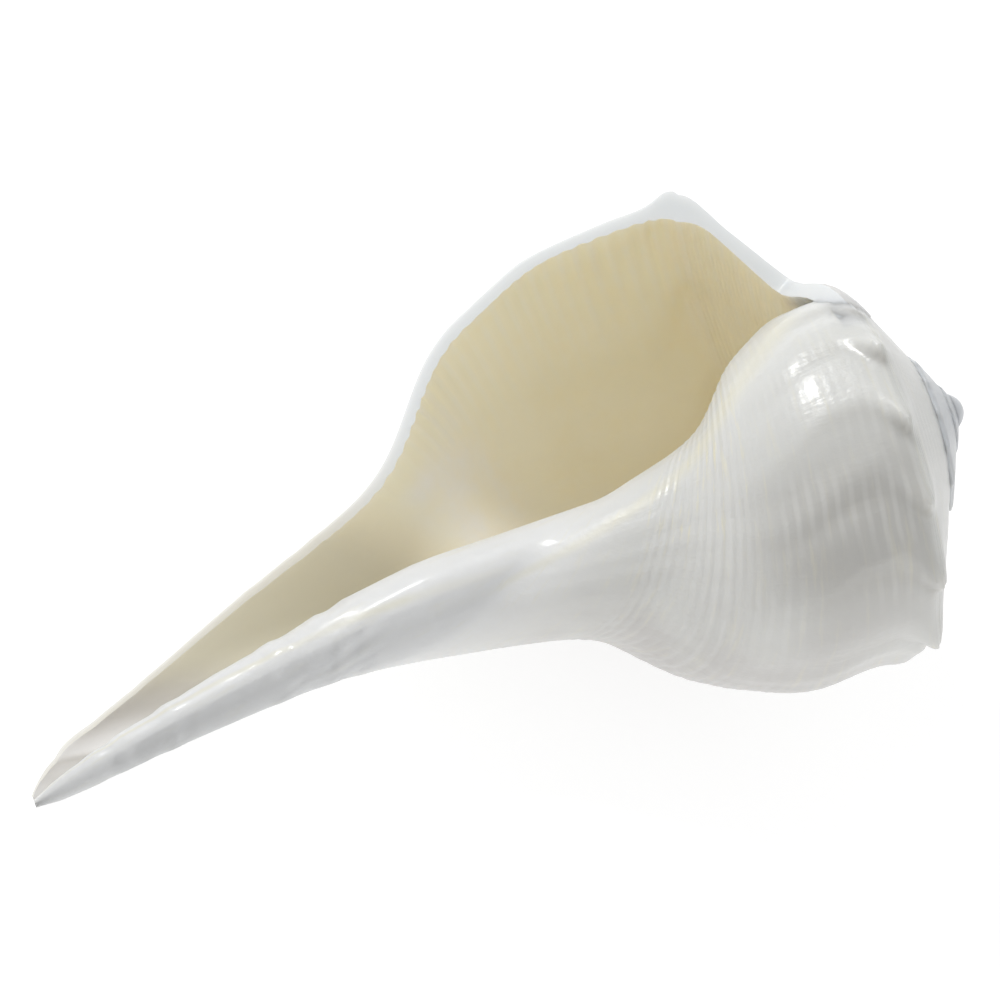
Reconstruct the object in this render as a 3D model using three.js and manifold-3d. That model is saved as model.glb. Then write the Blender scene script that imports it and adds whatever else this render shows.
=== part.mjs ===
// A left-handed whelk shell, lying on its back with the mouth up. Millimetres, +Z up.
// The shell is one body: a tapering tube that grows round its own axis, its mouth drawn out into a canal.
import * as THREE from "three";
import { mergeVertices } from "three/addons/utils/BufferGeometryUtils.js";
import Module from "manifold-3d";

// Overall, measured along the axis it coils round, from the apex down to the tip of the canal
const LENGTH = 180;
const SHOULDER_DEPTH = 31.4;

// How much larger a whorl is than the one a turn before it
const WIDTH_GROWTH = 2.234;
const HEIGHT_GROWTH = 2.3445;

// Outside of the last whorl: share of the way from shoulder to canal tip, and radius there
const BODY_SHARES = [0, 0.06, 0.14, 0.22, 0.3, 0.38, 0.46, 0.56, 0.68, 0.8, 0.92, 0.965, 1];
const BODY_RADII = [55.7, 56.2, 55.8, 54.1, 49.1, 42.1, 29.6, 21.9, 17.6, 13.3, 9.3, 7.2, 3.6];
// Share past the tip at which the canal's wall has closed on the pillar
const CANAL_CLOSED = 1.25;

// Each whorl sits this far below the shoulder of the one before, on a slightly hollow ramp
const SUTURE_DROP = 3.3;
const RAMP_BULGE = 0.6;

// Knobs round the shoulder
const KNOBS_PER_TURN = 14;
const KNOB_HEIGHT = 3.2;

// Shell wall, thickest at the shoulder, and the glaze laid over the wall inside the mouth
const WALL = 2.1;
const SHOULDER_WALL = 3.2;
const CANAL_WALL = 1.1;
const GLAZE = 0.6;

// Central pillar: depth below the apex, and radius there
const PILLAR = [
  [3, 0.9], [24, 3.2], [54, 6.5], [88, 7], [102, 7.7], [114, 7], [128, 5.6], [153, 3.9], [176, 2.2],
  [180.4, 1.2],
];

// The lip edge is set back along the mouth and again along the canal, degrees
const MOUTH_SETBACK = 6.7;
const CANAL_SETBACK = 7.3;

// The canal curves away from the straight axis past this depth, by this much at its tip
const BEND_START = 81;
const BEND_SIDE = -10.5;
const BEND_UP = 1.5;

// Rounded first whorl at the apex
const NUCLEUS_RADIUS = 4.3;
const NUCLEUS_DEPTH = 3.8;

// How it lies on a flat surface
const LYING_ROLL = 10.034;
const LYING_TILT = -17.96;

// Fineness of the surface
const COLUMNS_PER_TURN = 3 * KNOBS_PER_TURN;
const COLUMNS_PER_SECTOR = COLUMNS_PER_TURN - 4;
const SECTORS = 4;
const OUTER_ROWS = [
  -1, -0.7, -0.4, -0.15, 0, 0.03, 0.07, 0.13, 0.2, 0.27, 0.33, 0.39, 0.45, 0.51, 0.58, 0.68, 0.8, 0.9, 0.97,
];
const LUMEN_ROWS = [-1, -0.5, -0.1, 0.03, 0.13, 0.25, 0.35, 0.43, 0.52, 0.64, 0.78, 0.9, 0.97];
const TAIL_STEPS = [0.3, 0.65, 1];
const LUMEN_COLUMNS = 88;
const CORE_RADIUS = 0.5;
const INSIDE_PILLAR = 0.6;
const LEAST_GAP = 0.3;
const SETBACK_COLUMNS = 8;
const PAST_THE_TIP = 6;

const { clamp, degToRad, lerp, smoothstep } = THREE.MathUtils;
const wasm = await Module();
wasm.setup();

const bodyCurve = new THREE.CubicInterpolant(BODY_SHARES, BODY_RADII, 1);
const pillarCurve = new THREE.LinearInterpolant(
  PILLAR.map(([depth]) => depth),
  PILLAR.map(([, radius]) => radius),
  1,
);
const pillarRadius = (depth) => pillarCurve.evaluate(clamp(depth, PILLAR[0][0], LENGTH))[0];
const shareAt = (depth) => (depth - SHOULDER_DEPTH) / (LENGTH - SHOULDER_DEPTH);
const widthAt = (angle) => WIDTH_GROWTH ** (angle / (2 * Math.PI));
const heightAt = (angle) => HEIGHT_GROWTH ** (angle / (2 * Math.PI));
const columnAngle = (column) => (column * 2 * Math.PI) / COLUMNS_PER_TURN;

function bodyRadius(share) {
  const closing = clamp((CANAL_CLOSED - share) / (CANAL_CLOSED - 1), 0, 1);
  return closing * bodyCurve.evaluate(clamp(share, 0, 1))[0];
}

const suture = {
  radius: bodyRadius(shareAt(SHOULDER_DEPTH + SUTURE_DROP)) / WIDTH_GROWTH,
  depth: (SHOULDER_DEPTH + SUTURE_DROP) / HEIGHT_GROWTH,
};

// A point of the last whorl's outline: row -1 is the suture, 0 the shoulder, 1 the tip of the canal.
function outline(row) {
  if (row >= 0) return { radius: bodyRadius(row), depth: lerp(SHOULDER_DEPTH, LENGTH, row) };
  const u = 1 + row;
  return {
    radius: lerp(suture.radius, BODY_RADII[0], u) + RAMP_BULGE * 4 * u * (1 - u),
    depth: lerp(suture.depth, SHOULDER_DEPTH, u),
  };
}

// The outside of the whorl one turn earlier, as the last whorl meets it.
function earlierRadius(depth) {
  return bodyRadius(shareAt(depth * HEIGHT_GROWTH)) / WIDTH_GROWTH;
}

function knob(angle, row) {
  const reach = row < 0 ? 0.3 : 0.07;
  return KNOB_HEIGHT * Math.max(0, Math.cos(KNOBS_PER_TURN * angle)) * Math.exp(-((row / reach) ** 2));
}

// A point at a radius and depth, turned to its angle round the axis, with the canal's bend.
function place(radius, depth, angle) {
  const past = Math.max(depth - BEND_START, 0) / (LENGTH - BEND_START);
  const y = radius * Math.cos(angle) + BEND_SIDE * past * past;
  return new THREE.Vector3(-depth, y, radius * Math.sin(angle) + BEND_UP * past * past);
}

function setback(depth) {
  const mouth = MOUTH_SETBACK * clamp((depth / LENGTH - 0.45) / 0.25, 0, 1);
  return degToRad(mouth + CANAL_SETBACK * clamp((depth / LENGTH - 0.7) / 0.3, 0, 1));
}

function solidFrom(vertices, triangles) {
  const mesh = { numProp: 3, vertProperties: vertices, triVerts: triangles };
  return new wasm.Manifold(new wasm.Mesh(mesh));
}

// Joins rings of points into a solid. A ring runs down its outer side and back up its inner side.
function loft(rings) {
  const size = rings[0].length;
  const last = (rings.length - 1) * size;
  const triangles = [];
  for (let start = 0; start < last; start += size) {
    for (let i = 0; i < size; i += 1) {
      const a = start + i;
      const b = start + ((i + 1) % size);
      triangles.push(a, b, b + size, a, b + size, a + size);
    }
  }
  for (let i = 0; i < size / 2 - 1; i += 1) {
    const j = size - 1 - i;
    triangles.push(i, j, j - 1, i, j - 1, i + 1);
    triangles.push(last + i, last + j - 1, last + j, last + i, last + i + 1, last + j - 1);
  }
  const positions = rings.flat().flatMap((p) => p.toArray());
  return solidFrom(new Float32Array(positions), new Uint32Array(triangles));
}

// The outer wall from the last row of the outline on to the end of the canal.
function tail(from, angle, wall) {
  return TAIL_STEPS.map((step) => {
    const depth = lerp(from, LENGTH, step);
    const radius = bodyRadius(shareAt(depth / heightAt(angle))) * widthAt(angle) - wall;
    return { depth, radius: Math.max(radius, CORE_RADIUS + LEAST_GAP), angle };
  });
}

// The filled outside of one whorl at one column, down to the core.
function outerRing(column) {
  const whole = columnAngle(column);
  const fade = clamp(1 + column / SETBACK_COLUMNS, 0, 1);
  const outer = OUTER_ROWS.map((row) => {
    const point = outline(row);
    const angle = whole - fade * setback(point.depth * heightAt(whole));
    const radius = (point.radius + knob(whole, row)) * widthAt(angle);
    return { radius, depth: point.depth * heightAt(angle), angle };
  });
  outer.push(...tail(outer[outer.length - 1].depth, whole - fade * setback(LENGTH), 0));
  const inner = outer.map((p) => ({ ...p, radius: CORE_RADIUS })).reverse();
  return [...outer, ...inner].map((p) => place(p.radius, p.depth, p.angle));
}

function outerSector(index) {
  const end = -index * (COLUMNS_PER_SECTOR - 1);
  const columns = [...Array(COLUMNS_PER_SECTOR + 1).keys()];
  return loft(columns.map((i) => outerRing(end - COLUMNS_PER_SECTOR + i)));
}

function wallAt(row) {
  const shoulder = (SHOULDER_WALL - WALL) * Math.exp(-((row / 0.12) ** 2));
  return lerp(WALL, CANAL_WALL, smoothstep(row, 0.4, 1)) + shoulder;
}

// A point of the outline moved in through the wall.
function insideOutline(row, thickness) {
  const point = outline(row);
  const before = outline(row - 0.01);
  const after = outline(Math.min(row + 0.01, 1));
  const along = new THREE.Vector2(after.radius - before.radius, after.depth - before.depth).normalize();
  return {
    radius: point.radius - along.y * thickness,
    depth: point.depth + along.x * thickness,
  };
}

// The hollow of one whorl at one column.
function lumenRing(column) {
  const angle = columnAngle(column);
  const width = widthAt(angle);
  const spans = LUMEN_ROWS.map((row) => {
    const point = insideOutline(row, wallAt(row) / Math.sqrt(width));
    const depth = point.depth * heightAt(angle);
    const wallBefore = (earlierRadius(point.depth) + GLAZE) * width;
    const core = Math.max(wallBefore, INSIDE_PILLAR * pillarRadius(depth), CORE_RADIUS);
    const radius = Math.max(point.radius * width, CORE_RADIUS + LEAST_GAP);
    if (row < 0) return { depth, core, radius: Math.max(radius, core + LEAST_GAP) };
    return { depth, radius, core: Math.min(core, radius - LEAST_GAP) };
  });
  const end = tail(spans[spans.length - 1].depth, angle, CANAL_WALL);
  spans.push(...end, { ...end[end.length - 1], depth: LENGTH + PAST_THE_TIP });
  const outer = spans.map((span) => place(span.radius, span.depth, angle));
  const inner = spans.map((span) => place(span.core ?? CORE_RADIUS, span.depth, angle));
  return [...outer, ...inner.reverse()];
}

function lumen() {
  const columns = [];
  for (let column = 1; column > -LUMEN_COLUMNS; column -= column > -COLUMNS_PER_TURN ? 1 : 2) {
    columns.unshift(column);
  }
  return loft(columns.map(lumenRing));
}

// A solid from a three.js geometry, its points passed through the bend.
function bentSolid(geometry) {
  geometry.deleteAttribute("normal");
  geometry.deleteAttribute("uv");
  const merged = mergeVertices(geometry, 1e-4);
  const position = merged.getAttribute("position");
  const point = new THREE.Vector3();
  for (let i = 0; i < position.count; i += 1) {
    point.fromBufferAttribute(position, i);
    const bent = place(0, -point.x, 0);
    position.setXYZ(i, point.x, point.y + bent.y, point.z + bent.z);
  }
  return solidFrom(position.array, new Uint32Array(merged.index.array));
}

function pillar() {
  const ends = [PILLAR[0][0], PILLAR[PILLAR.length - 1][0]];
  const rows = [[ends[0], 0], ...PILLAR, [ends[1], 0]];
  const points = rows.map(([depth, radius]) => new THREE.Vector2(radius, -depth)).reverse();
  return bentSolid(new THREE.LatheGeometry(points, 18).rotateZ(-Math.PI / 2));
}

function nucleus() {
  return bentSolid(new THREE.SphereGeometry(NUCLEUS_RADIUS, 16, 10).translate(-NUCLEUS_DEPTH, 0, 0));
}

function shellGeometry() {
  const sectors = [...Array(SECTORS).keys()].map(outerSector);
  const outside = sectors.reduce((joined, sector) => joined.add(sector), nucleus());
  const mesh = outside.subtract(lumen()).add(pillar()).getMesh();
  const geometry = new THREE.BufferGeometry();
  geometry.setAttribute("position", new THREE.BufferAttribute(mesh.vertProperties, 3));
  geometry.setIndex(new THREE.BufferAttribute(mesh.triVerts, 1));
  return geometry;
}

const shell = new THREE.Mesh(
  shellGeometry(),
  new THREE.MeshStandardMaterial({ name: "shell", color: 0xe4e0d6, roughness: 0.35 }),
);
shell.name = "shell";

const part = new THREE.Group();
part.add(shell);
part.rotation.set(degToRad(LYING_ROLL), degToRad(LYING_TILT), 0, "YXZ");
const box = new THREE.Box3().setFromObject(part, true);
const middle = box.getCenter(new THREE.Vector3());
part.position.set(-middle.x, -middle.y, -box.min.z);

export default part;
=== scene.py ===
import math

import bpy
import numpy as np
from bpy.props import FloatProperty, FloatVectorProperty, IntProperty, PointerProperty
from mathutils import Matrix, Vector


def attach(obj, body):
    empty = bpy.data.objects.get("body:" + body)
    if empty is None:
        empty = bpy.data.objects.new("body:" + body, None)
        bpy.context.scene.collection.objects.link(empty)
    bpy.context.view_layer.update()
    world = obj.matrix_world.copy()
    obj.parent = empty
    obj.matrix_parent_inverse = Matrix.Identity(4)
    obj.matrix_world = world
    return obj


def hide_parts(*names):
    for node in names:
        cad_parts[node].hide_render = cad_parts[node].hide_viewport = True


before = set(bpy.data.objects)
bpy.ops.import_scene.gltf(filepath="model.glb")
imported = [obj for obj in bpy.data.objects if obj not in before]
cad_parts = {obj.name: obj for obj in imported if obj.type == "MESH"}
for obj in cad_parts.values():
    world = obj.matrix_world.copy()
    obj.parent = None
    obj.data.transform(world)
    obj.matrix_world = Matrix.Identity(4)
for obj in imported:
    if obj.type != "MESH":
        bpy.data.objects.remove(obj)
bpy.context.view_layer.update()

bl_info = {
    "name": "Whelk Shell",
    "version": (1, 0, 0),
    "blender": (4, 5, 0),
    "location": "3D View > Sidebar > Whelk",
    "description": "Builds a left-handed whelk shell and a plain studio stage",
    "category": "Object",
}

MM = 0.001

# The shell is modelled round its own axis, apex up, and laid on its back at the end.
# Depths are measured down the axis from the apex, in millimetres. A share of the body runs
# from the shoulder, 0, to the tip of the canal, 1. Turns are 0 at the lip, negative further back.
LENGTH = 180.0
SHOULDER_DEPTH = 31.4
SUTURE_DROP = 3.3
RAMP_BULGE = 0.6
WIDTH_GROWTH = 2.234
HEIGHT_GROWTH = 2.3445
BODY_SHARES = (0, 0.06, 0.14, 0.22, 0.3, 0.38, 0.46, 0.56, 0.68, 0.8, 0.92, 0.965, 1)
BODY_RADII = (55.7, 56.2, 55.8, 54.1, 49.1, 42.1, 29.6, 21.9, 17.6, 13.3, 9.3, 7.2, 3.6)
CANAL_CLOSED = 1.25
PILLAR_DEPTHS = (3, 24, 54, 88, 102, 114, 128, 153, 176, 180.4)
PILLAR_RADII = (0.9, 3.2, 6.5, 7.0, 7.7, 7.0, 5.6, 3.9, 2.2, 1.2)
PILLAR_BLEND = 2.6
BEND_START = 81.0
BEND_SIDE = -10.5
BEND_UP = 1.5
MOUTH_LAG = math.radians(6.7)
CANAL_LAG = math.radians(7.3)
LAG_TURNS = 0.19
SHOULDER_ROUND = 4.5
INSIDE_ROUND = 9.5
SHOULDER_TURN = math.radians(61.4)
LIP_SWING = math.radians(62)
LIP_RISE = 3.4
LIP_DRAW = 3.0
GLAZE = 1.7
FLARE = 2.4
FLARE_ROW = 0.966
TIP_ROUND_ROW = 0.98
LUMP_HEIGHT = 0.2
RIB_SPACING = 3.2

# The first whorl, and the core that fills the pillar
NUCLEUS_RADIUS = 4.3
NUCLEUS_DEPTH = 5.4
NUCLEUS_STRETCH = 1.37
CORE_START = 3.0
CORE_END = 172.0
CORE_STEP = 6.0
CORE_SHARE = 0.72
CORE_SIDES = 20

# Waves of the growth folds: height, waves in a turn, phase, and how the phase runs down the wall
GROWTH_WAVES = ((0.16, 23.3, 0.4, 0), (0.12, 37.1, 2.1, 4), (0.06, 47.7, 4.0, -9))
PAUSE_TURN = -0.66

# Swellings on the side of the body: height, turn and row of the middle, reach along each
SWELLINGS = (
    (0.9, -0.44, 0.25, 0.12, 0.14),
    (-1.6, -0.45, 0.11, 0.06, 0.07),
    (0.7, -0.475, 0.0, 0.02, 0.035),
)

# How the finished shell lies
LYING_ROLL = math.radians(10.034)
LYING_TILT = math.radians(-17.96)
LYING_PLACE = (0.0856002, -0.0095974, 0.0570891)

# Fineness of the wall
COLUMNS_PER_KNOB = 11
RAMP_ROWS = 24
CORD_ROWS = 4
CORDED_SHARE = 0.6
CANAL_ROWS = 14
TAIL_SHARE = 0.88
TAIL_ROWS = ((0, 0.42, 10), (0.42, 0.86, 26), (0.86, 1, 8))
TURNS = 3.55
WHOLE_TURNS = 1.72
COVERED_SHARE = 0.13
HIDDEN_TURNS = 0.62
HIDDEN_KEPT = 0.08

# Where the soft lights stand: right, up and back of the point aimed at
KEY_PLACE = (-0.25, 0.75, 0.35)
FILL_PLACE = (0.5, -0.75, 0.45)


# ---------------------------------------------------------------- small helpers


def deselect():
    if bpy.context.mode != "OBJECT":
        bpy.ops.object.mode_set(mode="OBJECT")
    bpy.ops.object.select_all(action="DESELECT")


def pick(obj):
    deselect()
    obj.select_set(True)
    bpy.context.view_layer.objects.active = obj


def choose(mesh, verts=None, faces=None):
    """Selects, in object mode, only the vertices or faces of the masks given."""
    count = len(mesh.vertices)
    mesh.vertices.foreach_set("select", np.zeros(count, bool) if verts is None else verts)
    mesh.edges.foreach_set("select", np.zeros(len(mesh.edges), bool))
    mesh.polygons.foreach_set("select", np.zeros(len(mesh.polygons), bool) if faces is None else faces)


def points(mesh):
    co = np.empty(len(mesh.vertices) * 3)
    mesh.vertices.foreach_get("co", co)
    return co.reshape(-1, 3)


def set_points(mesh, co):
    mesh.vertices.foreach_set("co", co.astype(np.float32).ravel())
    mesh.update()


def store(mesh, name, values, domain="POINT"):
    layer = mesh.attributes.get(name) or mesh.attributes.new(name, "FLOAT", domain)
    layer.data.foreach_set("value", np.asarray(values, np.float32))


def fetch(mesh, name):
    layer = mesh.attributes[name]
    values = np.empty(len(layer.data), np.float32)
    layer.data.foreach_get("value", values)
    return values.astype(float)


def smoothstep(x, low, high):
    t = np.clip((x - low) / (high - low), 0, 1)
    return t * t * (3 - 2 * t)


def hump(x, middle, reach):
    return np.exp(-(((x - middle) / reach) ** 2))


def smooth_max(a, b, width):
    h = np.clip(0.5 + 0.5 * (a - b) / width, 0, 1)
    return b + (a - b) * h + width * h * (1 - h)


# ---------------------------------------------------------------- the form of the shell


def spline(xs, ys):
    """A natural cubic through the points, as a function of an array."""
    xs, ys = np.asarray(xs, float), np.asarray(ys, float)
    h = np.diff(xs)
    n = len(xs)
    a = np.zeros((n, n))
    b = np.zeros(n)
    a[0, 0] = a[-1, -1] = 1
    for i in range(1, n - 1):
        a[i, i - 1], a[i, i], a[i, i + 1] = h[i - 1], 2 * (h[i - 1] + h[i]), h[i]
        b[i] = 6 * ((ys[i + 1] - ys[i]) / h[i] - (ys[i] - ys[i - 1]) / h[i - 1])
    m = np.linalg.solve(a, b)

    def value(x):
        x = np.clip(x, xs[0], xs[-1])
        i = np.clip(np.searchsorted(xs, x, side="right") - 1, 0, n - 2)
        u, v = xs[i + 1] - x, x - xs[i]
        cubic = (m[i] * u**3 + m[i + 1] * v**3) / (6 * h[i])
        linear = (ys[i] / h[i] - m[i] * h[i] / 6) * u + (ys[i + 1] / h[i] - m[i + 1] * h[i] / 6) * v
        return cubic + linear

    return value


body_curve = spline(BODY_SHARES, BODY_RADII)


def share_of(depth):
    return (depth - SHOULDER_DEPTH) / (LENGTH - SHOULDER_DEPTH)


def body_radius(share):
    closing = np.clip((CANAL_CLOSED - share) / (CANAL_CLOSED - 1), 0, 1)
    return closing * body_curve(np.clip(share, 0, 1))


def pillar_radius(depth):
    return np.interp(depth, PILLAR_DEPTHS, PILLAR_RADII)


SUTURE_RADIUS = float(body_radius(share_of(SHOULDER_DEPTH + SUTURE_DROP))) / WIDTH_GROWTH
SUTURE_DEPTH = (SHOULDER_DEPTH + SUTURE_DROP) / HEIGHT_GROWTH


def outline(row):
    """Radius and depth of the last whorl's outline: row -1 is the suture, 0 the shoulder, 1 the tip."""
    row = np.asarray(row, float)
    u = np.clip(1 + row, 0, 1)
    ramp_radius = SUTURE_RADIUS + (BODY_RADII[0] - SUTURE_RADIUS) * u + RAMP_BULGE * 4 * u * (1 - u)
    ramp_depth = SUTURE_DEPTH + (SHOULDER_DEPTH - SUTURE_DEPTH) * u
    body_depth = SHOULDER_DEPTH + (LENGTH - SHOULDER_DEPTH) * row
    radius = np.where(row < 0, ramp_radius, body_radius(row))
    return radius, np.where(row < 0, ramp_depth, body_depth)


def arc_table():
    """Distance down the outline from the shoulder, by row."""
    rows = np.linspace(-1, 1, 4001)
    radius, depth = outline(rows)
    steps = np.hypot(np.diff(radius), np.diff(depth))
    arc = np.concatenate([[0], np.cumsum(steps)])
    return rows, arc - np.interp(0, rows, arc)


ARC_ROWS, ARCS = arc_table()


def outline_rows(cord_spacing):
    """Rows of the outline: closer at the ramp's edges, several to each cord, wider along the canal."""
    even = np.linspace(0, 1, RAMP_ROWS, endpoint=False)
    ramp = even - 0.1 * np.sin(2 * np.pi * even) - 1
    step = cord_spacing / CORD_ROWS
    corded_end = np.interp(CORDED_SHARE, ARC_ROWS, ARCS)
    count = int(corded_end / step)
    body = np.interp(np.arange(count + 1) * step, ARCS, ARC_ROWS)
    canal = np.linspace(body[-1], TAIL_SHARE, CANAL_ROWS + 1)[1:]
    parts = [np.linspace(start, end, count + 1)[1:] for start, end, count in TAIL_ROWS]
    tail = TAIL_SHARE + (1 - TAIL_SHARE) * np.concatenate(parts)
    return np.concatenate([ramp, body, canal, tail])


def wall_thickness(row, sizes):
    shoulder = (sizes.shoulder_wall - sizes.wall) * hump(row, 0, 0.12)
    thin = smoothstep(row, 0.4, 1)
    ramp = (sizes.ramp_wall - sizes.wall) * smoothstep(-row, 0, 0.85)
    return (sizes.wall + (sizes.canal_wall - sizes.wall) * thin + shoulder + ramp) / MM


def outline_run(row, arc):
    """Direction down the outline inside: along the ramp, then down the body, with a rounded shoulder."""
    ahead, behind = outline(np.minimum(row + 0.01, 1)), outline(row - 0.01)
    body_r, body_d = ahead[0] - behind[0], ahead[1] - behind[1]
    size = np.hypot(body_r, body_d)
    ramp_r, ramp_d = BODY_RADII[0] - SUTURE_RADIUS, SHOULDER_DEPTH - SUTURE_DEPTH
    ramp = np.hypot(ramp_r, ramp_d)
    share = np.clip((arc + INSIDE_ROUND) / (2 * INSIDE_ROUND), 0, 1)
    run_r = (1 - share) * ramp_r / ramp + share * np.where(row < 0, 0, body_r / size)
    run_d = (1 - share) * ramp_d / ramp + share * np.where(row < 0, 1, body_d / size)
    length = np.hypot(run_r, run_d)
    return run_r / length, run_d / length


def lag(depth):
    """How far the lip edge is set back at a depth, in radians."""
    mouth = MOUTH_LAG * np.clip((depth / LENGTH - 0.45) / 0.25, 0, 1)
    return mouth + CANAL_LAG * smoothstep(depth / LENGTH, 0.66, 0.96)


def rounding(arc, reach):
    """Depth between a sharp shoulder and a rounded one, by distance from it along the outline."""
    within = np.clip(reach - np.abs(arc), 0, None)
    return math.tan(SHOULDER_TURN / 2) * within**2 / (2 * reach)


def lip_end(turn, row):
    """Where the lip meets the whorl before: how far its edge swings forward, rises and draws in."""
    near = smoothstep(turn, -0.14, -0.03) * (1 - 0.8 * smoothstep(turn, -0.03, 0))
    swing = LIP_SWING * smoothstep(turn, -0.2, 0) * np.clip((-row - 0.7) / 0.3, 0, 1) ** 2.5
    rise = LIP_RISE * near * smoothstep(-row, 0.68, 0.92)
    return swing, rise, LIP_DRAW * near * smoothstep(-row, 0.82, 1)


def growth_line(row):
    """How far a growth line swings back from straight, as a share of the space between knobs."""
    body = 0.47 * smoothstep(row, 0, 0.1) - 0.45 * smoothstep(row, 0.15, 0.36)
    return body + 0.4 * smoothstep(-row, 0, 0.6)


def knobs(turn, row, sizes):
    """Height of the knobs and of the fold behind each: a long rise toward the lip, then a steep drop."""
    phase = turn * sizes.knob_count + growth_line(row)
    x = np.mod(phase + 0.7, 1) - 0.7
    crest = hump(x, 0, np.where(x < 0, 0.4, 0.17))
    older = 1 - 0.45 * smoothstep(-turn, 0.95, 1.3) - 0.3 * smoothstep(-turn, 1.5, 2.2)
    overlaid = smoothstep(turn, -1.06, -1.0) * smoothstep(turn, -0.83, -0.86)
    worn = 0.9 * hump(turn, -0.43, 0.03)
    height = sizes.knob_height / MM * older * (1 - overlaid) * (1 - worn)
    broad = 0.7 * height * hump(row, 0, np.where(row < 0, 0.2, 0.045))
    fold = sizes.fold_height / MM * hump(row, 0.12, 0.19) * (row > 0)
    nub = 0.75 * height * hump(row, 0, np.where(row < 0, 0.1, 0.036))
    nub = nub * hump(x, 0, np.where(x < 0, 0.17, 0.12)) * smoothstep(-turn, 0.01, 0.06)
    return (broad + fold) * crest * (1 - 0.2 * smoothstep(turn, -0.05, 0)) + nub


def knob_shading(turn, row, sizes):
    """Painted shade: how far the colour darkens at the foot of each knob's steep side, and in the fold
    below it.
    """
    phase = np.mod(turn * sizes.knob_count + growth_line(row) + 0.5, 1) - 0.5
    foot = hump(phase, 0.16, 0.09) * hump(row, 0.012, 0.03)
    fold = hump(phase, 0.2, 0.13) * hump(row, 0.13, 0.12)
    return (foot + 0.35 * fold) * smoothstep(-turn, 0.05, 0.1) * (1 - 0.7 * smoothstep(-turn, 1.0, 1.2))


def growth_folds(turn, row, sizes):
    """Low folds from the ramp down the body, and a closer set where growth paused."""
    t = turn + growth_line(row) / sizes.knob_count + 0.004 * np.sin(17 * row + 1.0)
    waves = sum(
        height * np.sin(2 * np.pi * count * t + phase + run * row)
        for height, count, phase, run in GROWTH_WAVES
    )
    amount = 0.55 + 0.45 * np.sin(2 * np.pi * 2.3 * t + 1.3)
    pause = hump(t, PAUSE_TURN, 0.1) * smoothstep(row, 0.03, 0.12)
    close = np.sin(2 * np.pi * (26 * t + 3 * t * t) + 0.6 * np.sin(40 * t))
    return (waves * amount + 0.55 * pause * close) * hump(np.clip(row, 0, 1), 0, 0.5)


def cords(turn, arc, row, sizes):
    """Height of the spiral cords, uneven in spacing and in strength, and worn away at the lip."""
    spaced = arc + 0.55 * np.sin(arc / 7.3) + 0.4 * np.sin(arc / 3.1 + 1.0)
    uneven = (0.5 + 0.5 * np.sin(arc / 4.7 + 0.6)) * (0.6 + 0.4 * np.sin(arc / 11.3 + 2.0))
    low = 0.3 + 0.6 * smoothstep(row, 0.22, 0.36) + 0.9 * smoothstep(row, 0.36, 0.46)
    shown = low * smoothstep(row, 0.03, 0.12) * (1 - smoothstep(row, 0.5, 0.6))
    shown = shown * smoothstep(-turn, 0.01, 0.06) * (0.3 + 0.7 * uneven)
    return sizes.cord_height / MM * shown * np.cos(2 * np.pi * spaced / (sizes.cord_spacing / MM))


def ribs(turn, arc, row, sizes):
    """Height of the ribbing just inside the lip, strongest where the canal begins."""
    shown = smoothstep(row, 0, 0.06) * (1 - smoothstep(row, 0.5, 0.75))
    shown = shown * (1 - smoothstep(-turn, 0.005, 0.1))
    strength = 0.55 + 0.45 * np.sin(arc / 6.7 + 1.0) * np.sin(arc / 3.9) + 0.5 * hump(row, 0.44, 0.05)
    wave = np.cos(2 * np.pi * arc / RIB_SPACING + 1.5 * np.sin(arc / 5.3))
    return sizes.rib_height / MM * wave * shown * strength


def lumps(turn, deep):
    """Low uneven swellings down the canal, on both its faces."""
    wave = np.sin(2 * np.pi * deep / 8.3 + 1.6 * np.sin(deep / 9.0) + 0.8 * np.sin(2 * np.pi * turn))
    wave = wave + 0.7 * np.sin(2 * np.pi * deep / 5.1 + 1.5 * np.sin(2 * np.pi * turn) + 1.0)
    older = 0.35 + 0.65 * smoothstep(-turn, 0.5, 0.62)
    shown = older * smoothstep(deep, 104, 125) * (1 - smoothstep(deep, 160, 176))
    return LUMP_HEIGHT * wave * (0.6 + 0.4 * np.sin(deep / 6.1)) * shown


def swellings(turn, row):
    """Low swellings and one dent on the side of the body whorl."""
    return sum(
        height * hump(turn, at_turn, turn_reach) * hump(row, at_row, row_reach)
        for height, at_turn, at_row, turn_reach, row_reach in SWELLINGS
    )


def coat_of_glaze(turn, row):
    """Thickness of the glazed layer laid over the whorl before, beside the mouth."""
    laid = smoothstep(row, 0.015, 0.08) * (1 - smoothstep(row, 0.3, 0.5))
    return GLAZE * laid * smoothstep(-turn, 0.86, 1.0)


def whorl_before(angle, deep):
    """Radius of the outside of the whorl before, at an angle and a depth."""
    turn = angle / (2 * np.pi) - 1
    row = share_of(deep / HEIGHT_GROWTH**turn)
    return (body_radius(row) + coat_of_glaze(turn, row)) * WIDTH_GROWTH**turn


def depth_of(row, growth):
    """Depth of an outline row on a whorl of that growth. Past the tail row it runs on to the tip."""
    tail_start = outline(TAIL_SHARE)[1] * growth
    along = np.clip((row - TAIL_SHARE) / (1 - TAIL_SHARE), 0, 1)
    tail = tail_start + (LENGTH - tail_start) * along
    return np.where(row > TAIL_SHARE, tail, outline(row)[1] * growth)


def bend(depth):
    """How far the canal leans off the axis at a depth, to the side and up."""
    past = np.clip(depth - BEND_START, 0, None) / (LENGTH - BEND_START)
    return BEND_SIDE * past**2, BEND_UP * past**2


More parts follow.
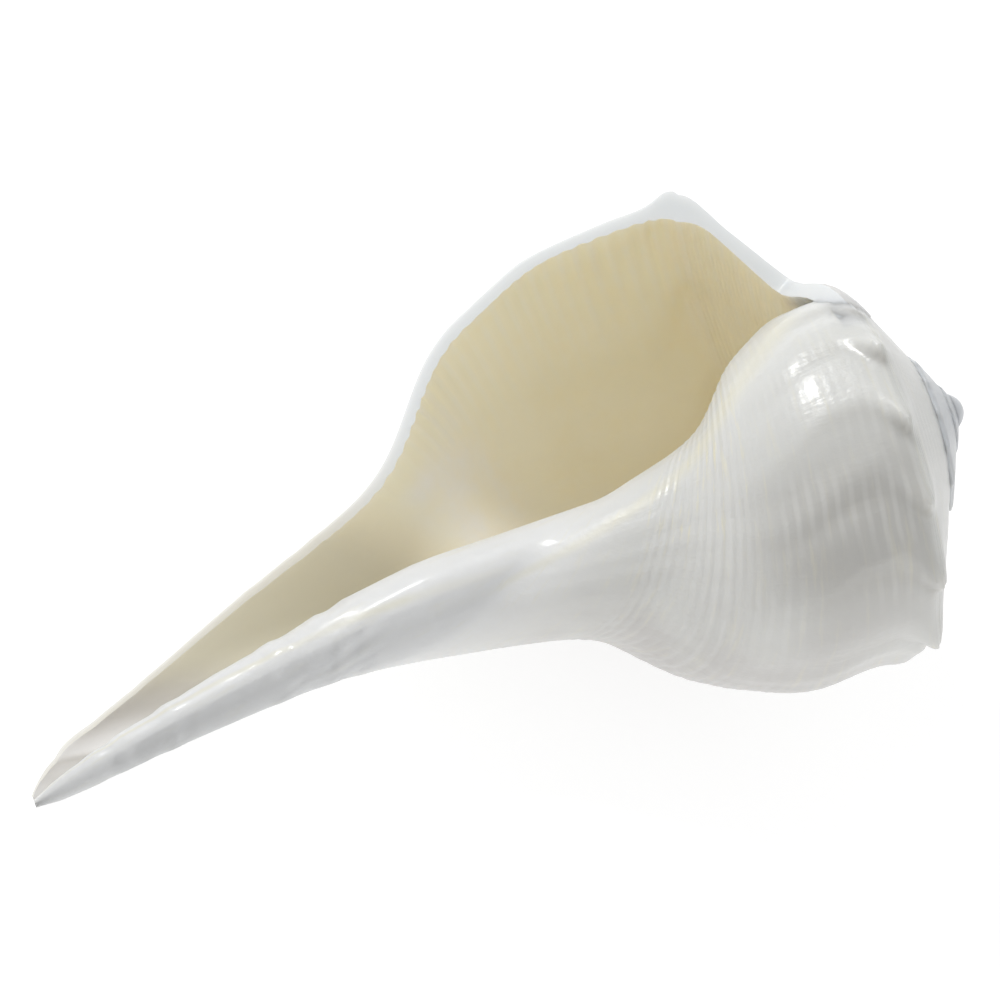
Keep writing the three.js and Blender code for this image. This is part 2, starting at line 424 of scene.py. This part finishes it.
def wall_points(turn, row, inner, sizes):
    """Places each vertex of the coiled wall, on the outer face or the inner one."""
    swing, rise, draw_in = lip_end(turn, row)
    fade = np.clip(1 + turn / LAG_TURNS, 0, 1)
    angle = 2 * np.pi * turn - fade * lag(depth_of(row, HEIGHT_GROWTH**turn)) + swing
    width = WIDTH_GROWTH ** (angle / (2 * np.pi))
    height = HEIGHT_GROWTH ** (angle / (2 * np.pi))
    deep = depth_of(row, height)
    base = np.where(row < 0, outline(row)[0] - draw_in, body_radius(share_of(deep / height)))
    base = base + FLARE * smoothstep(turn, -0.16, 0) * hump(row, FLARE_ROW, 0.024)

    # the outer face, with its shoulder cut round and its relief
    arc = np.interp(row, ARC_ROWS, ARCS)
    cut = rounding(arc, SHOULDER_ROUND)
    cut_in, cut_down = math.cos(SHOULDER_TURN / 2), math.sin(SHOULDER_TURN / 2)
    deep = deep + (cut * cut_down - rise) * height
    bare = 1 - smoothstep(-turn, 1.0, 1.06) * smoothstep(row, 0.012, 0.03)
    knobbed = knobs(turn, row, sizes) * bare
    relief = (growth_folds(turn, row, sizes) + cords(turn, arc, row, sizes)) * bare
    relief = relief + knobbed - cut * cut_in + coat_of_glaze(turn, row) + swellings(turn, row)
    pillar = pillar_radius(deep) * (1 - 0.07 * np.clip(-turn - 0.8, 0, 4))
    blend = PILLAR_BLEND * width
    uneven = lumps(turn, deep)
    tip = np.sqrt(np.clip(1 - (np.clip(row - TIP_ROUND_ROW, 0, 1) / 0.0235) ** 2, 0.03, 1))
    outside = (smooth_max((base + relief) * width, pillar, blend) + uneven) * tip

    # the inner face: moved in along the outline's normal, turned gradually round the shoulder
    run_r, run_d = outline_run(row, arc)
    thick = wall_thickness(row, sizes) * np.sqrt(width)
    inner_cut = rounding(arc, INSIDE_ROUND) * width
    inside = smooth_max((base + 0.3 * knobbed) * width, pillar, blend) + uneven
    inside = inside - run_d * thick - ribs(turn, arc, row, sizes)
    inside = np.maximum(inside - inner_cut * cut_in, 0.3)
    spare = 3 * (1 - smoothstep(row, 0.93, 0.975)) - 0.5
    inside = np.minimum(inside, np.maximum(outside + spare, 0.2))
    square = 1 - smoothstep(row, 0.7, TAIL_SHARE)
    inside_deep = deep - cut * cut_down * height + square * run_r * thick + inner_cut * cut_down

    # beside the suture the lip lies on the whorl before, and doesn't sink into it
    sunk = np.clip(whorl_before(angle, inside_deep) + 0.1 - inside, 0, None)
    inside = inside + sunk * (row < -0.6) * smoothstep(turn, -0.025, 0)

    radius = np.where(inner, inside, outside)
    depth = np.where(inner, inside_deep, deep)
    side, up = bend(depth)
    return np.stack([radius * np.cos(angle) + side, radius * np.sin(angle) + up, -depth], -1) * MM


# ---------------------------------------------------------------- making the pieces


def draw_outline(rows):
    """A chain of edges down the outline, extruded point by point from one vertex."""
    radius, depth = outline(rows)
    where = np.stack([radius, np.zeros_like(radius), -depth], -1) * MM
    deselect()
    bpy.ops.mesh.primitive_plane_add(size=MM, location=where[0])
    wall = bpy.context.object
    bpy.ops.object.transform_apply(location=True, rotation=True, scale=True)
    bpy.ops.object.mode_set(mode="EDIT")
    bpy.ops.mesh.merge(type="CENTER")
    for step in np.diff(where, axis=0):
        bpy.ops.mesh.extrude_region_move(TRANSFORM_OT_translate={"value": tuple(step)})
    bpy.ops.object.mode_set(mode="OBJECT")
    wall.name = wall.data.name = "whelk_shell"
    co = points(wall.data)
    nearest = np.abs(co[:, None] - where[None]).sum(-1).argmin(1)
    store(wall.data, "row", rows[nearest])
    return wall


def coil_wall(wall, columns_per_turn):
    """One narrow strip, swept and enlarged, and then repeated along the coil."""
    turn = 1 / columns_per_turn
    shrink = (WIDTH_GROWTH**-turn, WIDTH_GROWTH**-turn, HEIGHT_GROWTH**-turn)
    pick(wall)
    bpy.ops.object.mode_set(mode="EDIT")
    bpy.ops.mesh.select_all(action="SELECT")
    bpy.ops.mesh.extrude_region_move()
    bpy.ops.transform.rotate(
        value=2 * math.pi * turn, orient_axis="Z", orient_type="GLOBAL", center_override=(0, 0, 0)
    )
    bpy.ops.transform.resize(value=shrink, orient_type="GLOBAL", center_override=(0, 0, 0))
    bpy.ops.object.mode_set(mode="OBJECT")
    deselect()
    bpy.ops.object.empty_add(location=(0, 0, 0), rotation=(0, 0, -2 * math.pi * turn))
    step = bpy.context.object
    step.scale = shrink
    pick(wall)
    repeat = wall.modifiers.new("coil", "ARRAY")
    repeat.count = round(TURNS * columns_per_turn)
    repeat.use_relative_offset = False
    repeat.use_object_offset = True
    repeat.offset_object = step
    repeat.use_merge_vertices = True
    repeat.merge_threshold = 1e-6
    bpy.ops.object.modifier_apply(modifier=repeat.name)
    bpy.data.objects.remove(step)
    co, row = points(wall.data), fetch(wall.data, "row")
    store(wall.data, "turn", np.log(-co[:, 2] / MM / outline(row)[1]) / math.log(HEIGHT_GROWTH))


def face_means(mesh, values):
    """The mean of a vertex value over each face."""
    starts = np.empty(len(mesh.polygons), np.int32)
    mesh.polygons.foreach_get("loop_start", starts)
    corners = np.empty(len(mesh.loops), np.int32)
    mesh.loops.foreach_get("vertex_index", corners)
    sizes = np.diff(np.append(starts, len(corners)))
    return np.add.reduceat(values[corners], starts) / sizes


def remove_faces(obj, mask):
    choose(obj.data, faces=mask)
    pick(obj)
    bpy.ops.object.mode_set(mode="EDIT")
    bpy.ops.mesh.select_mode(type="FACE")
    bpy.ops.mesh.delete(type="FACE")
    bpy.ops.mesh.select_mode(type="VERT")
    bpy.ops.object.mode_set(mode="OBJECT")


def thicken_wall(wall):
    """Gives the sheet an inner face, and closes it along the lip, suture and canal."""
    mesh = wall.data
    normals = np.empty(len(mesh.polygons) * 3)
    mesh.polygons.foreach_get("normal", normals)
    centres = np.empty(len(mesh.polygons) * 3)
    mesh.polygons.foreach_get("center", centres)
    normals, centres = normals.reshape(-1, 3), centres.reshape(-1, 3)
    pick(wall)
    if (normals[:, :2] * centres[:, :2]).sum() < 0:
        bpy.ops.object.mode_set(mode="EDIT")
        bpy.ops.mesh.select_all(action="SELECT")
        bpy.ops.mesh.flip_normals()
        bpy.ops.object.mode_set(mode="OBJECT")
    outer = len(mesh.vertices)
    thick = wall.modifiers.new("wall", "SOLIDIFY")
    thick.thickness = 0.02 * MM
    thick.offset = -1
    bpy.ops.object.modifier_apply(modifier=thick.name)
    mesh = wall.data
    if len(mesh.vertices) != 2 * outer:
        raise RuntimeError("the wall's inner face doesn't match its outer face")
    inner = np.arange(len(mesh.vertices)) >= outer
    store(mesh, "side", inner.astype(float))
    return inner


def thin_hidden(wall, mask, ratio):
    """Fewer faces where the inside of the coil can't be seen."""
    choose(wall.data, faces=mask)
    pick(wall)
    bpy.ops.object.mode_set(mode="EDIT")
    bpy.ops.mesh.select_mode(type="FACE")
    bpy.ops.mesh.decimate(ratio=ratio)
    bpy.ops.mesh.select_mode(type="VERT")
    bpy.ops.object.mode_set(mode="OBJECT")


def make_pillar():
    """The core of the pillar, a circle drawn out down the axis and closed at both ends."""
    depths = np.append(np.arange(CORE_START, CORE_END - CORE_STEP / 2, CORE_STEP), CORE_END)
    radii = pillar_radius(depths) * CORE_SHARE
    deselect()
    bpy.ops.mesh.primitive_circle_add(
        vertices=CORE_SIDES, radius=radii[0] * MM, fill_type="NOTHING", location=(0, 0, -depths[0] * MM)
    )
    core = bpy.context.object
    bpy.ops.object.transform_apply(location=True, rotation=True, scale=True)
    bpy.ops.object.mode_set(mode="EDIT")
    bpy.ops.mesh.select_all(action="SELECT")
    for i in range(1, len(depths)):
        down = (0, 0, (depths[i - 1] - depths[i]) * MM)
        widen = float(radii[i] / radii[i - 1])
        bpy.ops.mesh.extrude_region_move(TRANSFORM_OT_translate={"value": down})
        bpy.ops.transform.resize(value=(widen, widen, 1), center_override=(0, 0, -depths[i] * MM))
    bpy.ops.mesh.select_all(action="SELECT")
    bpy.ops.mesh.fill_holes(sides=0)
    bpy.ops.mesh.select_all(action="SELECT")
    bpy.ops.mesh.normals_make_consistent(inside=False)
    bpy.ops.object.mode_set(mode="OBJECT")
    co = points(core.data)
    side, up = bend(-co[:, 2] / MM)
    co[:, 0] += side * MM
    co[:, 1] += up * MM
    set_points(core.data, co)
    finish_part(core, turn=-1.3, row=0.8)
    return core


def make_nucleus():
    """The rounded first whorl at the apex."""
    deselect()
    bpy.ops.mesh.primitive_uv_sphere_add(
        segments=36,
        ring_count=20,
        radius=NUCLEUS_RADIUS * MM,
        location=(0, 0, -NUCLEUS_DEPTH * MM),
        scale=(1, 1, NUCLEUS_STRETCH),
    )
    dome = bpy.context.object
    bpy.ops.object.transform_apply(location=True, rotation=True, scale=True)
    finish_part(dome, turn=-TURNS, row=-0.5)
    return dome


def finish_part(obj, turn, row):
    """Gives a part the place on the coil that its look is taken from."""
    count = len(obj.data.vertices)
    store(obj.data, "turn", np.full(count, turn))
    store(obj.data, "row", np.full(count, row))
    store(obj.data, "side", np.zeros(count))


def lay_down(obj):
    """Turns the finished shell from the bench to the way it lies, with its place in its mesh."""
    axes = Matrix(((0, 0, 1, 0), (1, 0, 0, 0), (0, 1, 0, 0), (0, 0, 0, 1)))
    tilt = Matrix.Rotation(LYING_TILT, 4, "Y")
    roll = Matrix.Rotation(LYING_ROLL, 4, "X")
    pick(obj)
    obj.matrix_world = Matrix.Translation(LYING_PLACE) @ tilt @ roll @ axes
    bpy.ops.object.transform_apply(location=True, rotation=True, scale=True)


# ---------------------------------------------------------------- finishes


class Nodes:
    """Adds nodes to a material and joins them up."""

    def __init__(self, name):
        self.material = bpy.data.materials.new(name)
        self.material.use_nodes = True
        self.tree = self.material.node_tree
        self.tree.nodes.clear()

    def add(self, kind, inputs=(), **settings):
        node = self.tree.nodes.new(kind)
        for key, value in settings.items():
            setattr(node, key, value)
        for key, value in dict(inputs).items():
            socket = node.inputs[key]
            if isinstance(value, bpy.types.NodeSocket):
                self.tree.links.new(value, socket)
            else:
                socket.default_value = value
        return node

    def attribute(self, name):
        return self.add("ShaderNodeAttribute", attribute_name=name).outputs["Fac"]

    def math(self, operation, a, b=0.0, c=0.0, clamp=False):
        node = self.add("ShaderNodeMath", {0: a, 1: b, 2: c}, operation=operation)
        node.use_clamp = clamp
        return node.outputs[0]

    def span(self, value, low, high, to_low=0.0, to_high=1.0):
        node = self.add(
            "ShaderNodeMapRange",
            {"Value": value, "From Min": low, "From Max": high, "To Min": to_low, "To Max": to_high},
            interpolation_type="SMOOTHSTEP",
        )
        return node.outputs["Result"]

    def times(self, first, *others):
        for other in others:
            first = self.math("MULTIPLY", first, other)
        return first

    def window(self, value, opens, closes):
        """1 between two places, falling off smoothly over the span given at each."""
        return self.times(self.span(value, *opens), self.span(value, *closes))

    def mix(self, factor, a, b, **settings):
        a, b = (each if isinstance(each, bpy.types.NodeSocket) else (*each, 1.0) for each in (a, b))
        node = self.add("ShaderNodeMix", {0: factor, 6: a, 7: b}, data_type="RGBA", **settings)
        return node.outputs[2]

    def noise(self, vector, scale, detail=3.0, roughness=0.5):
        inputs = {"Vector": vector, "Scale": scale, "Detail": detail, "Roughness": roughness}
        return self.add("ShaderNodeTexNoise", inputs).outputs["Fac"]


class ShellNodes(Nodes):
    """Nodes that know where on the shell a point lies."""

    def __init__(self, name):
        super().__init__(name)
        self.turn, self.row, self.side = (self.attribute(key) for key in ("turn", "row", "side"))
        self.arc, self.knob_shade = self.attribute("arc"), self.attribute("knob_shade")
        self.place = self.add("ShaderNodeTexCoord").outputs["Object"]
        grown = {0: self.turn, 1: self.arc, 2: self.row}
        self.grown = self.add("ShaderNodeCombineXYZ", grown).outputs[0]
        self.cloud = self.noise(self.place, 35.0, 3.0)

    def along_growth(self, across, down):
        """A vector for noise drawn out along the whorls or the growth lines."""
        inputs = {"Vector": self.grown, "Scale": (across, down, 0.0)}
        return self.add("ShaderNodeMapping", inputs).outputs[0]

    def ripple(self, spacing, swirl):
        """Bands round the shell, one to each spacing down the outline, swirled by the cloud."""
        swirled = self.math("MULTIPLY", self.cloud, swirl)
        return self.math("SINE", self.math("MULTIPLY_ADD", self.arc, 2 * math.pi / spacing, swirled))

    def line(self, slope, start, reach):
        """A soft line down the wall, whose turn changes with the row."""
        away = self.math("ADD", self.math("MULTIPLY_ADD", self.row, slope, self.turn), -start)
        return self.span(self.math("ABSOLUTE", away), reach, 0.0)


def outside_colour(n, colours):
    """White beside the mouth, greyer round the back and on the spire; the back's grey is partly its own
    tone and partly painted shade, stronger lower down the body.
    """
    # the shell's greyer tone round the back, deepened as painted shade from the shoulder down the body
    back = n.times(n.span(n.turn, -0.9, -0.35), n.span(n.cloud, 0.25, 0.7))
    outside = n.mix(n.times(back, n.span(n.row, 0.1, 0.35, 0.6, 1.0)), colours.outside, colours.back)

    # painted shade: a grey band across the middle of the body whorl, where a broad fold lies in shade
    fold_shade = n.window(n.turn, (-0.76, -0.66), (-0.52, -0.62))
    fold_shade = n.times(fold_shade, n.window(n.row, (-0.01, 0.03), (0.42, 0.24)))
    outside = n.mix(n.times(fold_shade, n.span(n.cloud, 0.2, 0.6, 0.7, 1.0)), outside, colours.fold_shade)
    outside = n.mix(n.span(n.row, 0.55, 0.85), outside, colours.canal_outside)
    outside = n.mix(n.times(n.span(n.turn, -1.25, -1.7), 0.75), outside, colours.spire)

    # yellow streaks along the cords, strongest beside the mouth
    streak = n.span(n.noise(n.along_growth(14.0, 0.45), 1.0, 4.0, 0.6), 0.52, 0.75)
    near_mouth = n.times(n.window(n.row, (0.3, 0.42), (0.62, 0.5)), n.span(n.turn, -0.6, -0.7))
    outside = n.mix(n.times(streak, n.span(near_mouth, 0, 1, 0.22, 0.8)), outside, colours.streak)

    # whiter stripes in patches
    patch = n.times(n.span(n.noise(n.place, 45.0, 2.0), 0.45, 0.65), n.span(n.row, 0.45, 0.3))
    patch = n.times(patch, n.span(n.turn, -0.5, -0.62, 0.2, 1.0))
    stripe = n.times(n.span(n.ripple(4.3, 9.0), -0.3, 1.0), patch, 0.24)
    outside = n.mix(stripe, outside, colours.canal_outside)
    # painted shade: warm grey at the foot of each knob's steep side and in the fold below it
    outside = n.mix(n.math("MULTIPLY", n.knob_shade, 0.7, clamp=True), outside, colours.knob_shade_colour)

    # a yellow line along the glazed layer's edge, and another down the canal's ridge
    edge = n.times(n.line(-0.31, -0.94, 0.035), n.window(n.row, (0.1, 0.2), (0.9, 0.84)))
    ridge = n.times(n.line(1.4, 0.516, 0.03), n.span(n.row, 0.87, 0.89))
    ridge = n.times(ridge, n.span(n.cloud, 0.35, 0.6, 0.5, 1.6))
    return n.mix(n.times(n.math("MAXIMUM", edge, ridge), 0.32), outside, colours.streak)


def inside_colour(n, colours):
    """Cream, deeper away from the lip and paler toward the canal."""
    inside = n.mix(n.span(n.turn, -0.01, -0.2), colours.inside, colours.deep)
    inside = n.mix(n.span(n.row, 0.48, 0.6), inside, colours.canal)
    inside = n.mix(n.span(n.row, 0.8, 0.93), inside, colours.back)

    # pale rays in from the lip, pale folds where the canal begins, and brown mottling
    ray = n.times(n.span(n.ripple(3.4, 7.0), -0.2, 1.0), n.span(n.turn, -0.14, -0.02, 0.0, 0.24))
    inside = n.mix(n.times(ray, n.span(n.row, 0.5, 0.4)), inside, colours.pale)
    pale = n.times(n.window(n.row, (0.34, 0.44), (0.53, 0.46)), n.span(n.turn, -0.02, -0.06))
    pale = n.times(pale, n.span(n.noise(n.place, 120.0, 3.0), 0.3, 0.7, 0.2, 0.9))
    inside = n.mix(pale, inside, colours.pale)
    mottle = n.span(n.noise(n.place, 110.0, 4.0, 0.65), 0.4, 0.75, 0.0, 0.55)
    inside = n.mix(n.times(mottle, n.span(n.row, 0.5, 0.35)), inside, colours.stain)

    # the end of the lip is the colour of its edge
    end = n.times(n.span(n.row, -0.72, -0.85), n.span(n.turn, -0.06, -0.02))
    return n.mix(end, inside, colours.rim)


def shell_material(colours):
    """Porcelain outside, cream inside, bluish white along the broken lip."""
    n = ShellNodes("whelk_porcelain")
    outside, inside = outside_colour(n, colours), inside_colour(n, colours)
    glazed = n.times(n.span(n.turn, -1.0, -1.15), n.span(n.row, 0.07, 0.12), 0.8)
    outside = n.mix(glazed, outside, inside)
    rim = n.window(n.side, (0.02, 0.1), (0.98, 0.9))
    broken = n.mix(n.span(n.row, 0.4, 0.62), colours.rim, colours.canal_rim)
    colour = n.mix(rim, n.mix(n.span(n.side, 0.4, 0.6), outside, inside), broken)

    # fine growth lines, grain, and close spiral lines on the ramp, but none on the rim
    growth = n.noise(n.along_growth(170.0, 0.06), 1.0, 3.0, 0.6)
    relief = n.times(growth, n.span(n.row, 0.45, 0.7, 0.6, 0.1))
    grain = n.noise(n.place, 650.0, 2.0)
    relief = n.math("MULTIPLY_ADD", grain, n.span(n.side, 0.4, 0.6, 0.6, 0.1), relief)
    fine = n.math("SINE", n.times(n.arc, 2 * math.pi / 1.15))
    relief = n.math("MULTIPLY_ADD", fine, n.span(n.row, 0.04, -0.04, 0.0, 0.26), relief)
    relief = n.times(relief, n.math("SUBTRACT", 1.0, rim))
    bump = n.add("ShaderNodeBump", {"Height": relief, "Strength": 0.35, "Distance": 0.0004})

    rough = n.span(n.noise(n.place, 90.0, 2.0), 0.3, 0.7, 0.30, 0.40)
    rough = n.math("MULTIPLY_ADD", n.span(n.row, 0.55, 0.8), 0.1, rough)
    rough = n.math("MULTIPLY_ADD", rim, 0.3, rough)
    shader = n.add(
        "ShaderNodeBsdfPrincipled",
        {
            "Base Color": colour,
            "Roughness": rough,
            "Normal": bump.outputs[0],
            "IOR": 1.5,
            "Coat Weight": 0.14,
            "Coat Roughness": 0.1,
            "Subsurface Weight": 0.5,
            "Subsurface Radius": (1.0, 0.95, 0.85),
            "Subsurface Scale": 0.004,
        },
    )
    n.add("ShaderNodeOutputMaterial", {"Surface": shader.outputs[0]})
    return n.material


def floor_material(look):
    n = Nodes("studio_floor")
    place = n.add("ShaderNodeTexCoord").outputs["Object"]
    tone = n.span(n.noise(place, 3.0, 2.0), 0.3, 0.7, 0.97, 1.0)
    grey = n.add("ShaderNodeCombineColor", {0: tone, 1: tone, 2: tone}).outputs[0]
    shader = n.add(
        "ShaderNodeBsdfPrincipled",
        {
            "Base Color": n.mix(1.0, look.floor_colour, grey, blend_type="MULTIPLY"),
            "Roughness": 0.8,
            "Emission Color": (1, 1, 1, 1),
            "Emission Strength": look.glow,
        },
    )
    n.add("ShaderNodeOutputMaterial", {"Surface": shader.outputs[0]})
    return n.material


# ---------------------------------------------------------------- settings


def length(name, text, default):
    return FloatProperty(name=name, description=text, default=default, min=0, unit="LENGTH", precision=5)


def power(name, text, default, unit="NONE"):
    return FloatProperty(name=name, description=text, default=default, min=0, unit=unit)


def angle(name, text, degrees):
    return FloatProperty(name=name, description=text, default=math.radians(degrees), subtype="ANGLE")


def colour(name, text, default):
    return FloatVectorProperty(
        name=name, description=text, default=default, size=3, min=0, max=1, subtype="COLOR"
    )


class WhelkSizes(bpy.types.PropertyGroup):
    wall: length("Wall", "Thickness of the wall along the side of the mouth", 0.0021)
    shoulder_wall: length("Shoulder wall", "Thickness of the wall at the shoulder", 0.0027)
    ramp_wall: length("Ramp wall", "Thickness of the wall where it meets the whorl before", 0.0036)
    canal_wall: length("Canal wall", "Thickness of the wall at the tip of the canal", 0.0011)
    knob_height: length("Knob height", "How far the knobs stand out at the lip", 0.0032)
    fold_height: length("Fold height", "How far the fold behind each knob stands out", 0.00095)
    knob_count: IntProperty(name="Knobs", description="Knobs in one turn", default=14, min=1)
    cord_spacing: length("Cord spacing", "Distance from one spiral cord to the next at the lip", 0.0032)
    cord_height: length("Cord height", "How far the spiral cords stand out", 0.00025)
    rib_height: length("Rib height", "Depth of the ribbing inside the lip", 0.00024)


class WhelkColours(bpy.types.PropertyGroup):
    outside: colour("Outside", "Porcelain white near the mouth", (0.63, 0.635, 0.615))
    # the back's own greyer tone, which also carries painted shade on the lower body
    back: colour("Back", "Greyer white of the shell's back and the canal's tip", (0.495, 0.48, 0.465))
    spire: colour("Spire", "Bluish grey of the oldest whorls", (0.52, 0.545, 0.58))
    canal_outside: colour("Canal outside", "Cleaner white outside the canal", (0.75, 0.75, 0.73))
    # painted shade across the middle of the body whorl
    fold_shade: colour("Band", "Grey of a pause in growth across the body whorl", (0.455, 0.45, 0.43))
    # painted shade at the foot of the knobs
    knob_shade_colour: colour("Shade", "Warm grey at the foot of the knobs", (0.40, 0.39, 0.36))
    streak: colour("Streaks", "Pale yellow along the cords", (0.73, 0.69, 0.50))
    inside: colour("Inside", "Cream just inside the lip", (0.97, 0.885, 0.695))
    deep: colour("Deep inside", "Darker cream further in", (0.985, 0.885, 0.705))
    pale: colour("Canal mouth", "Paler folds where the canal begins", (0.93, 0.90, 0.83))
    stain: colour("Stain", "Browner mottling deep inside", (0.98, 0.855, 0.635))
    canal: colour("Canal", "Pale cream in the canal", (0.75, 0.705, 0.575))
    canal_rim: colour("Canal rim", "Greyish cream of the wall's edge along the canal", (0.60, 0.58, 0.52))
    rim: colour("Rim", "Bluish white of the lip's edge", (0.66, 0.68, 0.685))


class StageLook(bpy.types.PropertyGroup):
    floor_colour: colour("Floor", "Colour of the floor", (0.42, 0.42, 0.42))
    glow: power("Floor glow", "Light from the floor itself, as on a light table", 0.71)
    floor_size: length("Floor size", "Length of each side of the floor", 8.0)
    sky: power("Surround", "Strength of the even light from all round", 0.70)
    key: power("Key light", "Power of the main soft light", 3.5, "POWER")
    key_size: length("Key size", "Width of the main soft light", 0.14)
    fill: power("Fill light", "Power of the second soft light", 0.85, "POWER")
    fill_size: length("Fill size", "Width of the second soft light", 0.5)
    distance: length("Camera distance", "From the camera to the shell", 0.7330)
    azimuth: angle("Azimuth", "Camera direction round the shell", -42.611)
    elevation: angle("Elevation", "Camera height above the floor", 53.020)
    tilt: angle("Roll", "Camera turned on its own axis", 25.146)
    lens: FloatProperty(name="Lens", description="Focal length", default=148.555, min=1, unit="CAMERA")
    aim: FloatVectorProperty(
        name="Aim",
        description="Point the camera looks at",
        default=(0.00309, 0.00133, 0.03682),
        size=3,
        subtype="XYZ",
    )


# ---------------------------------------------------------------- operators


class WHELK_OT_shell(bpy.types.Operator):
    """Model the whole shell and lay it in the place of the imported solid"""

    bl_idname = "whelk.shell"
    bl_label = "Shell"

    def execute(self, context):
        sizes, colours = context.scene.whelk_sizes, context.scene.whelk_colours
        rows = outline_rows(sizes.cord_spacing / MM)
        shell = draw_outline(rows)
        coil_wall(shell, sizes.knob_count * COLUMNS_PER_KNOB)
        mesh = shell.data
        turn, row = fetch(mesh, "turn"), fetch(mesh, "row")
        remove_faces(
            shell, (face_means(mesh, turn) < -WHOLE_TURNS) & (face_means(mesh, row) > COVERED_SHARE)
        )
        inner = thicken_wall(shell)
        mesh = shell.data
        turn, row = fetch(mesh, "turn"), fetch(mesh, "row")
        set_points(mesh, wall_points(turn, row, inner, sizes))
        face_turn, face_side = face_means(mesh, turn), face_means(mesh, inner.astype(float))
        thin_hidden(shell, (face_turn < -HIDDEN_TURNS) & (face_side > 0.99), HIDDEN_KEPT)
        pillar, nucleus = make_pillar(), make_nucleus()
        pick(shell)
        pillar.select_set(True)
        nucleus.select_set(True)
        bpy.ops.object.join()
        mesh = shell.data
        turn, row = fetch(mesh, "turn"), fetch(mesh, "row")
        store(mesh, "arc", np.interp(row, ARC_ROWS, ARCS))
        # how much painted shade darkens the colour beside the knobs
        store(mesh, "knob_shade", knob_shading(turn, row, sizes))
        side = face_means(mesh, fetch(mesh, "side"))
        lay_down(shell)
        mesh.attributes.remove(mesh.attributes["side"])
        store(mesh, "side", side, "FACE")
        bpy.ops.object.shade_smooth_by_angle(angle=math.radians(38))
        mesh.materials.clear()
        mesh.materials.append(shell_material(colours))
        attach(shell, "root")
        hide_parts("shell")
        return {"FINISHED"}


class WHELK_OT_stage(bpy.types.Operator):
    """Set out the floor, the soft lights and the camera"""

    bl_idname = "whelk.stage"
    bl_label = "Stage"

    def execute(self, context):
        look = context.scene.whelk_stage
        scene = context.scene
        deselect()
        bpy.ops.mesh.primitive_plane_add(size=look.floor_size, location=(0, 0, 0))
        floor = context.object
        floor.name = floor.data.name = "studio_floor"
        floor.data.materials.append(floor_material(look))

        world = bpy.data.worlds.new("studio")
        world.use_nodes = True
        background = world.node_tree.nodes["Background"]
        background.inputs["Color"].default_value = (1, 1, 1, 1)
        background.inputs["Strength"].default_value = look.sky
        scene.world = world
        scene.view_settings.view_transform = "Standard"

        axes = right, up, back = camera_axes(look)
        aim = Vector(look.aim)
        self.light("key_light", look.key, look.key_size, axes, KEY_PLACE, aim)
        self.light("fill_light", look.fill, look.fill_size, axes, FILL_PLACE, aim)

        camera = bpy.data.objects.new("camera", bpy.data.cameras.new("camera"))
        scene.collection.objects.link(camera)
        camera.data.lens = look.lens
        camera.data.sensor_width = 36
        camera.data.clip_start, camera.data.clip_end = 0.01, 50
        place = Matrix((right, up, back)).transposed().to_4x4()
        place.translation = aim + back * look.distance
        camera.matrix_world = place
        scene.camera = camera
        return {"FINISHED"}

    def light(self, name, energy, size, axes, place, aim):
        data = bpy.data.lights.new(name, "AREA")
        data.energy, data.size = energy, size
        lamp = bpy.data.objects.new(name, data)
        bpy.context.scene.collection.objects.link(lamp)
        away = sum((axis * share for axis, share in zip(axes, place)), Vector())
        lamp.location = aim + away
        lamp.rotation_euler = (-away).to_track_quat("-Z", "Y").to_euler()


def camera_axes(look):
    """The camera's right, up and back directions."""
    az, el = look.azimuth, look.elevation
    back = Vector((math.sin(az) * math.cos(el), -math.cos(az) * math.cos(el), math.sin(el)))
    level = Vector((0, 0, 1)).cross(back).normalized()
    raised = back.cross(level)
    right = level * math.cos(look.tilt) + raised * math.sin(look.tilt)
    return right, back.cross(right), back


class WHELK_PT_panel(bpy.types.Panel):
    """Lists the shell, the stage and their settings"""

    bl_idname = "WHELK_PT_panel"
    bl_label = "Whelk Shell"
    bl_space_type = "VIEW_3D"
    bl_region_type = "UI"
    bl_category = "Whelk"

    def draw(self, context):
        for operator, settings in (
            (WHELK_OT_shell, (context.scene.whelk_sizes, context.scene.whelk_colours)),
            (WHELK_OT_stage, (context.scene.whelk_stage,)),
        ):
            column = self.layout.column()
            column.operator(operator.bl_idname)
            for group in settings:
                for key in group.__annotations__:
                    column.prop(group, key)


CLASSES = (WhelkSizes, WhelkColours, StageLook, WHELK_OT_shell, WHELK_OT_stage, WHELK_PT_panel)


def register():
    for item in CLASSES:
        bpy.utils.register_class(item)
    bpy.types.Scene.whelk_sizes = PointerProperty(type=WhelkSizes)
    bpy.types.Scene.whelk_colours = PointerProperty(type=WhelkColours)
    bpy.types.Scene.whelk_stage = PointerProperty(type=StageLook)


def unregister():
    del bpy.types.Scene.whelk_stage
    del bpy.types.Scene.whelk_colours
    del bpy.types.Scene.whelk_sizes
    for item in reversed(CLASSES):
        bpy.utils.unregister_class(item)


def main():
    register()
    bpy.ops.whelk.shell()
    bpy.ops.whelk.stage()


if __name__ == "__main__":
    main()
